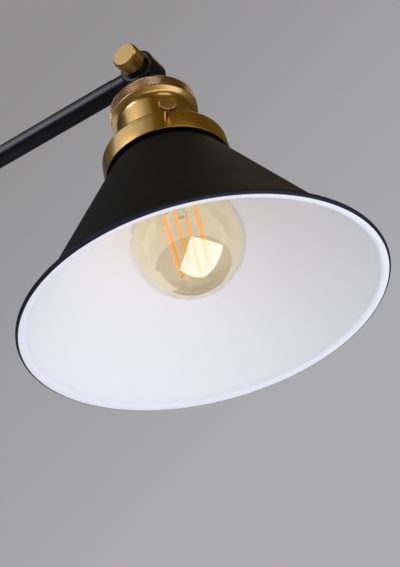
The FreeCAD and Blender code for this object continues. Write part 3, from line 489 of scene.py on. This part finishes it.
def make_shade():
    """Spun cone: black outside and round the beaded rim, white inside."""
    rim_r, bead_r, sheet = 90.3, 1.2, 0.8
    cone_r, half_angle = 88.15, math.radians(30.34)
    neck_r, neck_top = 31.0, 105.4
    lip, lip_height = 1.3, 1.2
    bead_top, inner_edge = 2.2, 0.5
    around = 256

    def cone_at(height):
        return cone_r - height * math.tan(half_angle)

    wall = sheet / math.cos(half_angle)
    inner_neck = neck_r - sheet
    neck_low = (cone_r - neck_r) / math.tan(half_angle)
    inner_low = (cone_r - wall - inner_neck) / math.tan(half_angle)
    bead_angles = [math.radians(a) for a in range(0, 211, 15)]
    bead = [(rim_r + bead_r * math.sin(a), bead_r - bead_r * math.cos(a)) for a in bead_angles]
    outer = rounded([
        bead[-1], (cone_at(bead_top), bead_top, 2.0), (neck_r, neck_low, 2.0),
        (neck_r, neck_top - lip_height, 0.3), (neck_r + lip, neck_top - lip_height, 0.3),
        (neck_r + lip, neck_top, 0.5), (inner_neck, neck_top)])
    inner = rounded([
        (inner_neck, neck_top), (inner_neck, inner_low, 1.5),
        (cone_at(inner_edge) - wall, inner_edge, 4.0), (rim_r, 0.0)], 10)
    outline = in_metres(bead[:-1]) + outer + inner[1:-1]
    piece = lathe("shade_shell", outline, around)
    finish_piece(piece, "head", "shade_enamel", ["shade"], shade_black, shade_white)
    first_white = (len(bead) + len(outer) - 2) * around
    for polygon in piece.data.polygons:
        polygon.material_index = int(polygon.index >= first_white)


# The brass cup

def make_gallery():
    """Flat plate under the cup with a skirt that hides the shade's neck."""
    bore_r, top_r, skirt_r, wall = 16.4, 34.9, 35.2, 1.0
    skirt_low, plate_low, plate_top = 95.3, 107.1, 108.1
    outline = rounded([
        (bore_r, plate_low), (top_r - wall, plate_low, 0.8), (skirt_r - wall, skirt_low),
        (skirt_r, skirt_low, 0.25), (top_r, plate_top, 1.4), (bore_r, plate_top)])
    piece = lathe("gallery_ring", outline)
    finish_piece(piece, "head", "brushed_brass", ["gallery"], brushed_brass)


def make_cup_body():
    """Turned body: straight waist on the gallery, cove up to the lip under the knurled ring."""
    bore_r, waist_r, lip_r, spigot_r, hole_r = 19.2, 21.2, 24.9, 23.15, 16.6
    foot, cove, lip_low, lip_top, spigot_top = 108.15, 135.2, 137.4, 138.15, 141.5
    web_low, web_top = 129.1, 131.5
    outline = rounded([
        (bore_r, foot), (waist_r, foot, 0.8), (waist_r, cove, 5.0), (lip_r, lip_low, 0.5),
        (lip_r, lip_top, 0.3), (spigot_r, lip_top), (spigot_r, spigot_top), (bore_r, spigot_top),
        (bore_r, web_top), (hole_r, web_top), (hole_r, web_low), (bore_r, web_low)], 12)
    piece = lathe("turned_cup", outline)
    finish_piece(piece, "head", "brushed_brass", ["cup_body"], brushed_brass)


def make_knurled_ring():
    """Ring with a diamond knurl: two sets of helical grooves cut into its outer face."""
    low, high, outer, inner, edge = 138.2, 145.0, 25.2, 23.2, 0.5
    teeth, depth, rows = 104, 0.75, 48
    diamond_height = 1.5 * 2 * math.pi * outer / teeth
    face_height = high - low - 2 * edge
    outline = in_metres(
        [(inner, low), (outer - edge, low)]
        + [(outer, low + edge + face_height * k / rows) for k in range(rows + 1)]
        + [(outer - edge, high), (inner, high)])

    def radius_at(i, point, angle):
        if not 1 < i < len(outline) - 2:
            return point.x
        along = angle * teeth / (2 * math.pi)
        up = (point.y / MM - low) / diamond_height
        return point.x - depth * MM * (1 - min(ridge(along - up), ridge(along + up)))

    piece = lathe("diamond_knurl_ring", outline, teeth * STEPS_PER_TOOTH, radius_at)
    finish_piece(piece, "head", "brushed_brass", ["knurled_ring"], knurled_brass)


def make_thumb_screws():
    """Two screws through the skirt of the gallery, with straight knurled heads."""
    tip, head_low, head_top = 31.2, 44.5, 47.3  # from the lamp's axis
    tip_r, shank_r, head_r, face_r = 1.5, 1.8, 4.75, 3.6
    chamfer, chamfer_run = 0.45, 0.35
    teeth, depth = 26, 0.5
    height, first_angle, apart = 100.4, -55.7, 180.0
    outline = in_metres([
        (0.0, tip), (tip_r, tip), (shank_r, tip + shank_r - tip_r), (shank_r, head_low),
        (head_r - chamfer, head_low), (head_r, head_low + chamfer_run),
        (head_r, head_top - chamfer_run), (head_r - chamfer, head_top), (face_r, head_top),
        (0.0, head_top)])
    knurled = (5, 6)

    def radius_at(i, point, angle):
        if i not in knurled:
            return point.x
        return point.x - depth * MM * (1 - ridge(angle * teeth / (2 * math.pi)))

    for k in range(2):
        angle = math.radians(first_angle + apart * k)
        out = Vector((math.cos(angle), math.sin(angle), 0.0))
        side = Vector((-out.y, out.x, 0.0))
        place = Matrix((side, Vector((0.0, 0.0, 1.0)), out)).transposed().to_4x4()
        place.translation = Vector((0.0, 0.0, height)) * MM
        piece = lathe(f"thumb_screw_{k + 1}", outline, teeth * STEPS_PER_TOOTH, radius_at,
                      LAMP @ place)
        finish_piece(piece, f"shade_screw_{k + 1}", "rose_brass", [f"gallery_screw_{k + 1}"],
                     rose_brass)


# The bulb

def envelope(inset):
    """Half outline of the globe and its neck, from the tip up to the cap."""
    globe_r, globe_z, arc_steps = 30.0 - inset, 47.7, 64
    neck_r, neck_z, cap_z, blend_r = 13.2 - inset, 86.0, 97.75 - inset, 34.0
    rise = neck_z - globe_z
    top_angle = math.atan2(rise, neck_r) - math.acos(globe_r / math.hypot(neck_r, rise))
    angles = [-math.pi / 2 + (top_angle + math.pi / 2) * k / arc_steps
              for k in range(arc_steps + 1)]
    globe = [(globe_r * math.cos(a), globe_z + globe_r * math.sin(a)) for a in angles]
    shoulder = rounded([globe[-1], (neck_r, neck_z, blend_r), (neck_r, cap_z)], 20)
    return in_metres(globe[:-1]) + shoulder


def make_bulb_glass():
    outer = envelope(0.0)
    inner = envelope(0.8)
    on_axis = [Vector((0.0, side[-1].y)) for side in (outer, inner)]
    piece = lathe("bulb_envelope", outer + on_axis + inner[::-1])
    finish_piece(piece, "bulb", "amber_glass", ["bulb_glass"], amber_glass)


def make_bulb_wires():
    """Thin wires: four supports from the stem to the filaments' upper ends, and two slack links
    between their lower ends."""
    wire_r, root_r, low_r, low_z, high_r, high_z, rise = 0.3, 1.9, 7.2, 30.0, 9.2, 70.0, 4.0
    first_angle, sway, sag, overhang = -173.0, 0.9, 1.2, 0.12
    up = Vector((0, 0, 1))
    ways_out = []
    for k in range(4):
        angle = math.radians(first_angle + 90.0 * k)
        ways_out.append(Vector((math.cos(angle), math.sin(angle), 0)))
    paths = []
    steps = 16
    for out in ways_out:
        start = out * root_r + up * (high_z + rise)
        end = out * high_r + up * (high_z + 2 * wire_r)
        side = Vector((-out.y, out.x, 0))
        paths.append([start.lerp(end, k / steps)
                      + side * sway * math.sin(2 * math.pi * k / steps)
                      for k in range(steps + 1)])
    steps = 32
    for pair in (ways_out[:2], ways_out[2:]):
        start, end = (out * low_r + up * (low_z - 2 * wire_r) for out in pair)
        out = (pair[0] + pair[1]).normalized()
        paths.append([start.lerp(end, -overhang + (1 + 2 * overhang) * k / steps)
                      + out * sway * math.sin(3 * math.pi * k / steps)
                      - up * sag * math.sin(2 * math.pi * k / steps) ** 2
                      for k in range(steps + 1)])
    piece = swept("support_wires", paths, wire_r)
    finish_piece(piece, "bulb", "nickel_plate", ["bulb_wires"], nickel)


make_shade()
make_gallery()
make_cup_body()
make_knurled_ring()
make_thumb_screws()
make_bulb_glass()
make_bulb_wires()
dress_cad_nodes()


# Camera, floor, backdrop and lamps

def make_camera():
    """Place and view fitted to the photograph's outlines."""
    data = bpy.data.cameras.new("camera")
    data.lens = 57.14
    data.sensor_width = 36.0
    camera = bpy.data.objects.new("camera", data)
    bpy.context.scene.collection.objects.link(camera)
    forward = Vector((-0.38976045, 0.7594977, 0.52081671))
    up = Vector((0.38212484, -0.38117809, 0.84183364))
    right = forward.cross(up).normalized()
    up = right.cross(forward).normalized()
    place = Matrix((right, up, -forward)).transposed().to_4x4()
    place.translation = Vector((0.51937, -0.33812, -0.38504))
    camera.matrix_world = place
    bpy.context.scene.camera = camera


def make_floor():
    half, height = 5.0, -1.4
    corners = ((-half, -half), (half, -half), (half, half), (-half, half))
    floor = new_piece("floor", [(x, y, height) for x, y in corners], [(0, 1, 2, 3)])
    material = painted("floor_paint", (0.62, 0.62, 0.62), roughness=0.8, spread=0.05,
                       grain=60.0, bump=0.05, cloudiness=1.35, gloss=0.5)
    lifted(material, (0.28, 0.28, 0.31))
    paint(floor, material)


def make_world():
    """Grey room: a pale backdrop where it is seen, dimmer where it only lights the lamp."""
    backdrop_dark, backdrop_pale = (0.29, 0.283, 0.287), (0.415, 0.408, 0.43)
    mirrored_below, mirrored_left = (0.09, 0.09, 0.095), (0.085, 0.088, 0.092)
    mirrored_right = (0.115, 0.080, 0.016)
    soft_light = (0.15, 0.15, 0.153)
    pale_side = (0.27, 0.55, -0.58)

    world = bpy.data.worlds.new("room")
    bpy.context.scene.world = world
    world.use_nodes = True
    tree = world.node_tree
    direction = tree.nodes.new("ShaderNodeTexCoord").outputs["Generated"]

    across = tree.nodes.new("ShaderNodeVectorMath")
    across.operation = "DOT_PRODUCT"
    across.inputs[1].default_value = pale_side
    tree.links.new(direction, across.inputs[0])
    paleness = ranged(tree, across.outputs["Value"], 0.0, 1.0, from_low=-0.22, from_high=0.15)

    x, _, z = parts_of(tree, direction)
    rightness = ranged(tree, x, 0.0, 1.0, from_low=-0.35, from_high=0.05)
    level = ranged(tree, z, 0.0, 1.0, from_low=-0.2, from_high=0.3)
    mirrored_above = blended(tree, rightness, mirrored_left, mirrored_right)

    seen = tree.nodes["Background"]
    mirrored = tree.nodes.new("ShaderNodeBackground")
    soft = tree.nodes.new("ShaderNodeBackground")
    feed(tree, seen.inputs["Color"], blended(tree, paleness, backdrop_dark, backdrop_pale))
    feed(tree, mirrored.inputs["Color"], blended(tree, level, mirrored_below, mirrored_above))
    feed(tree, soft.inputs["Color"], soft_light)
    unseen = chosen(tree, ray_is(tree, "Diffuse"), mirrored.outputs["Background"],
                    soft.outputs["Background"])
    surface = chosen(tree, ray_is(tree, "Camera", "Transmission"), unseen,
                     seen.outputs["Background"])
    tree.links.new(surface, tree.nodes["World Output"].inputs["Surface"])


def softbox(name, middle, facing, across, size, radiance, colour=(1.0, 1.0, 1.0)):
    """Rectangular lamp of an even radiance, facing one way, its width lying across another."""
    data = bpy.data.lights.new(name, "AREA")
    data.shape = "RECTANGLE"
    data.size, data.size_y = size
    data.energy = radiance * math.pi * size[0] * size[1]
    data.color = colour
    lamp = bpy.data.objects.new(name, data)
    z_axis = -Vector(facing).normalized()
    x_axis = (Vector(across) - z_axis * Vector(across).dot(z_axis)).normalized()
    y_axis = z_axis.cross(x_axis)
    place = Matrix((x_axis, y_axis, z_axis)).transposed().to_4x4()
    place.translation = Vector(middle)
    lamp.matrix_world = place
    lamp.visible_camera = False
    bpy.context.scene.collection.objects.link(lamp)
    return lamp


def make_lamps():
    """Soft lamps round the shade. The glint shows in reflections alone, as in the bulb."""
    below = dict(middle=(0.486, 0.016, -0.623), facing=(-0.599, 0.337, 0.727),
                 across=(0.67, -0.286, 0.685), size=(0.78, 0.62))
    softbox("lamp_below", **below, radiance=2.15, colour=(1.0, 1.0, 1.07))
    softbox("lamp_left", middle=(-0.22, -0.72, 0.60), facing=(0.55, 0.62, -0.56),
            across=(0.7, -0.7, 0.0), size=(1.0, 0.8), radiance=0.92, colour=(0.95, 1.0, 0.97))
    softbox("lamp_front", middle=(0.38, -0.85, 0.75), facing=(-0.11, 0.7, -0.71),
            across=(1.0, 0.1, 0.0), size=(0.3, 0.5), radiance=0.45, colour=(1.0, 0.95, 0.7))
    softbox("lamp_right", middle=(1.3, -0.5, 0.3), facing=(-0.9, 0.4, -0.3),
            across=(0.3, 0.9, 0.0), size=(0.6, 0.6), radiance=1.9, colour=(1.0, 0.94, 0.86))
    softbox("lamp_behind", middle=(0.33, 0.52, 0.86), facing=(0.0, -0.52, -0.86),
            across=(1.0, 0.0, 0.0), size=(0.5, 0.3), radiance=0.6, colour=(1.0, 0.9, 0.75))
    softbox("lamp_arm", middle=(-0.15, -0.81, 0.22), facing=(0.45, 0.85, -0.23),
            across=(0.85, -0.45, 0.0), size=(0.45, 0.6), radiance=4.2, colour=(0.84, 0.81, 1.0))
    softbox("fill_left", middle=(-0.65, 0.27, -0.55), facing=(0.85, -0.25, 0.4),
            across=(0.3, 0.9, 0.0), size=(0.8, 0.6), radiance=0.8)
    glint = softbox("glint_below", **below, radiance=4.5)
    glint.visible_diffuse = False


make_camera()
make_floor()
make_world()
make_lamps()

bpy.context.scene.view_settings.view_transform = "Standard"
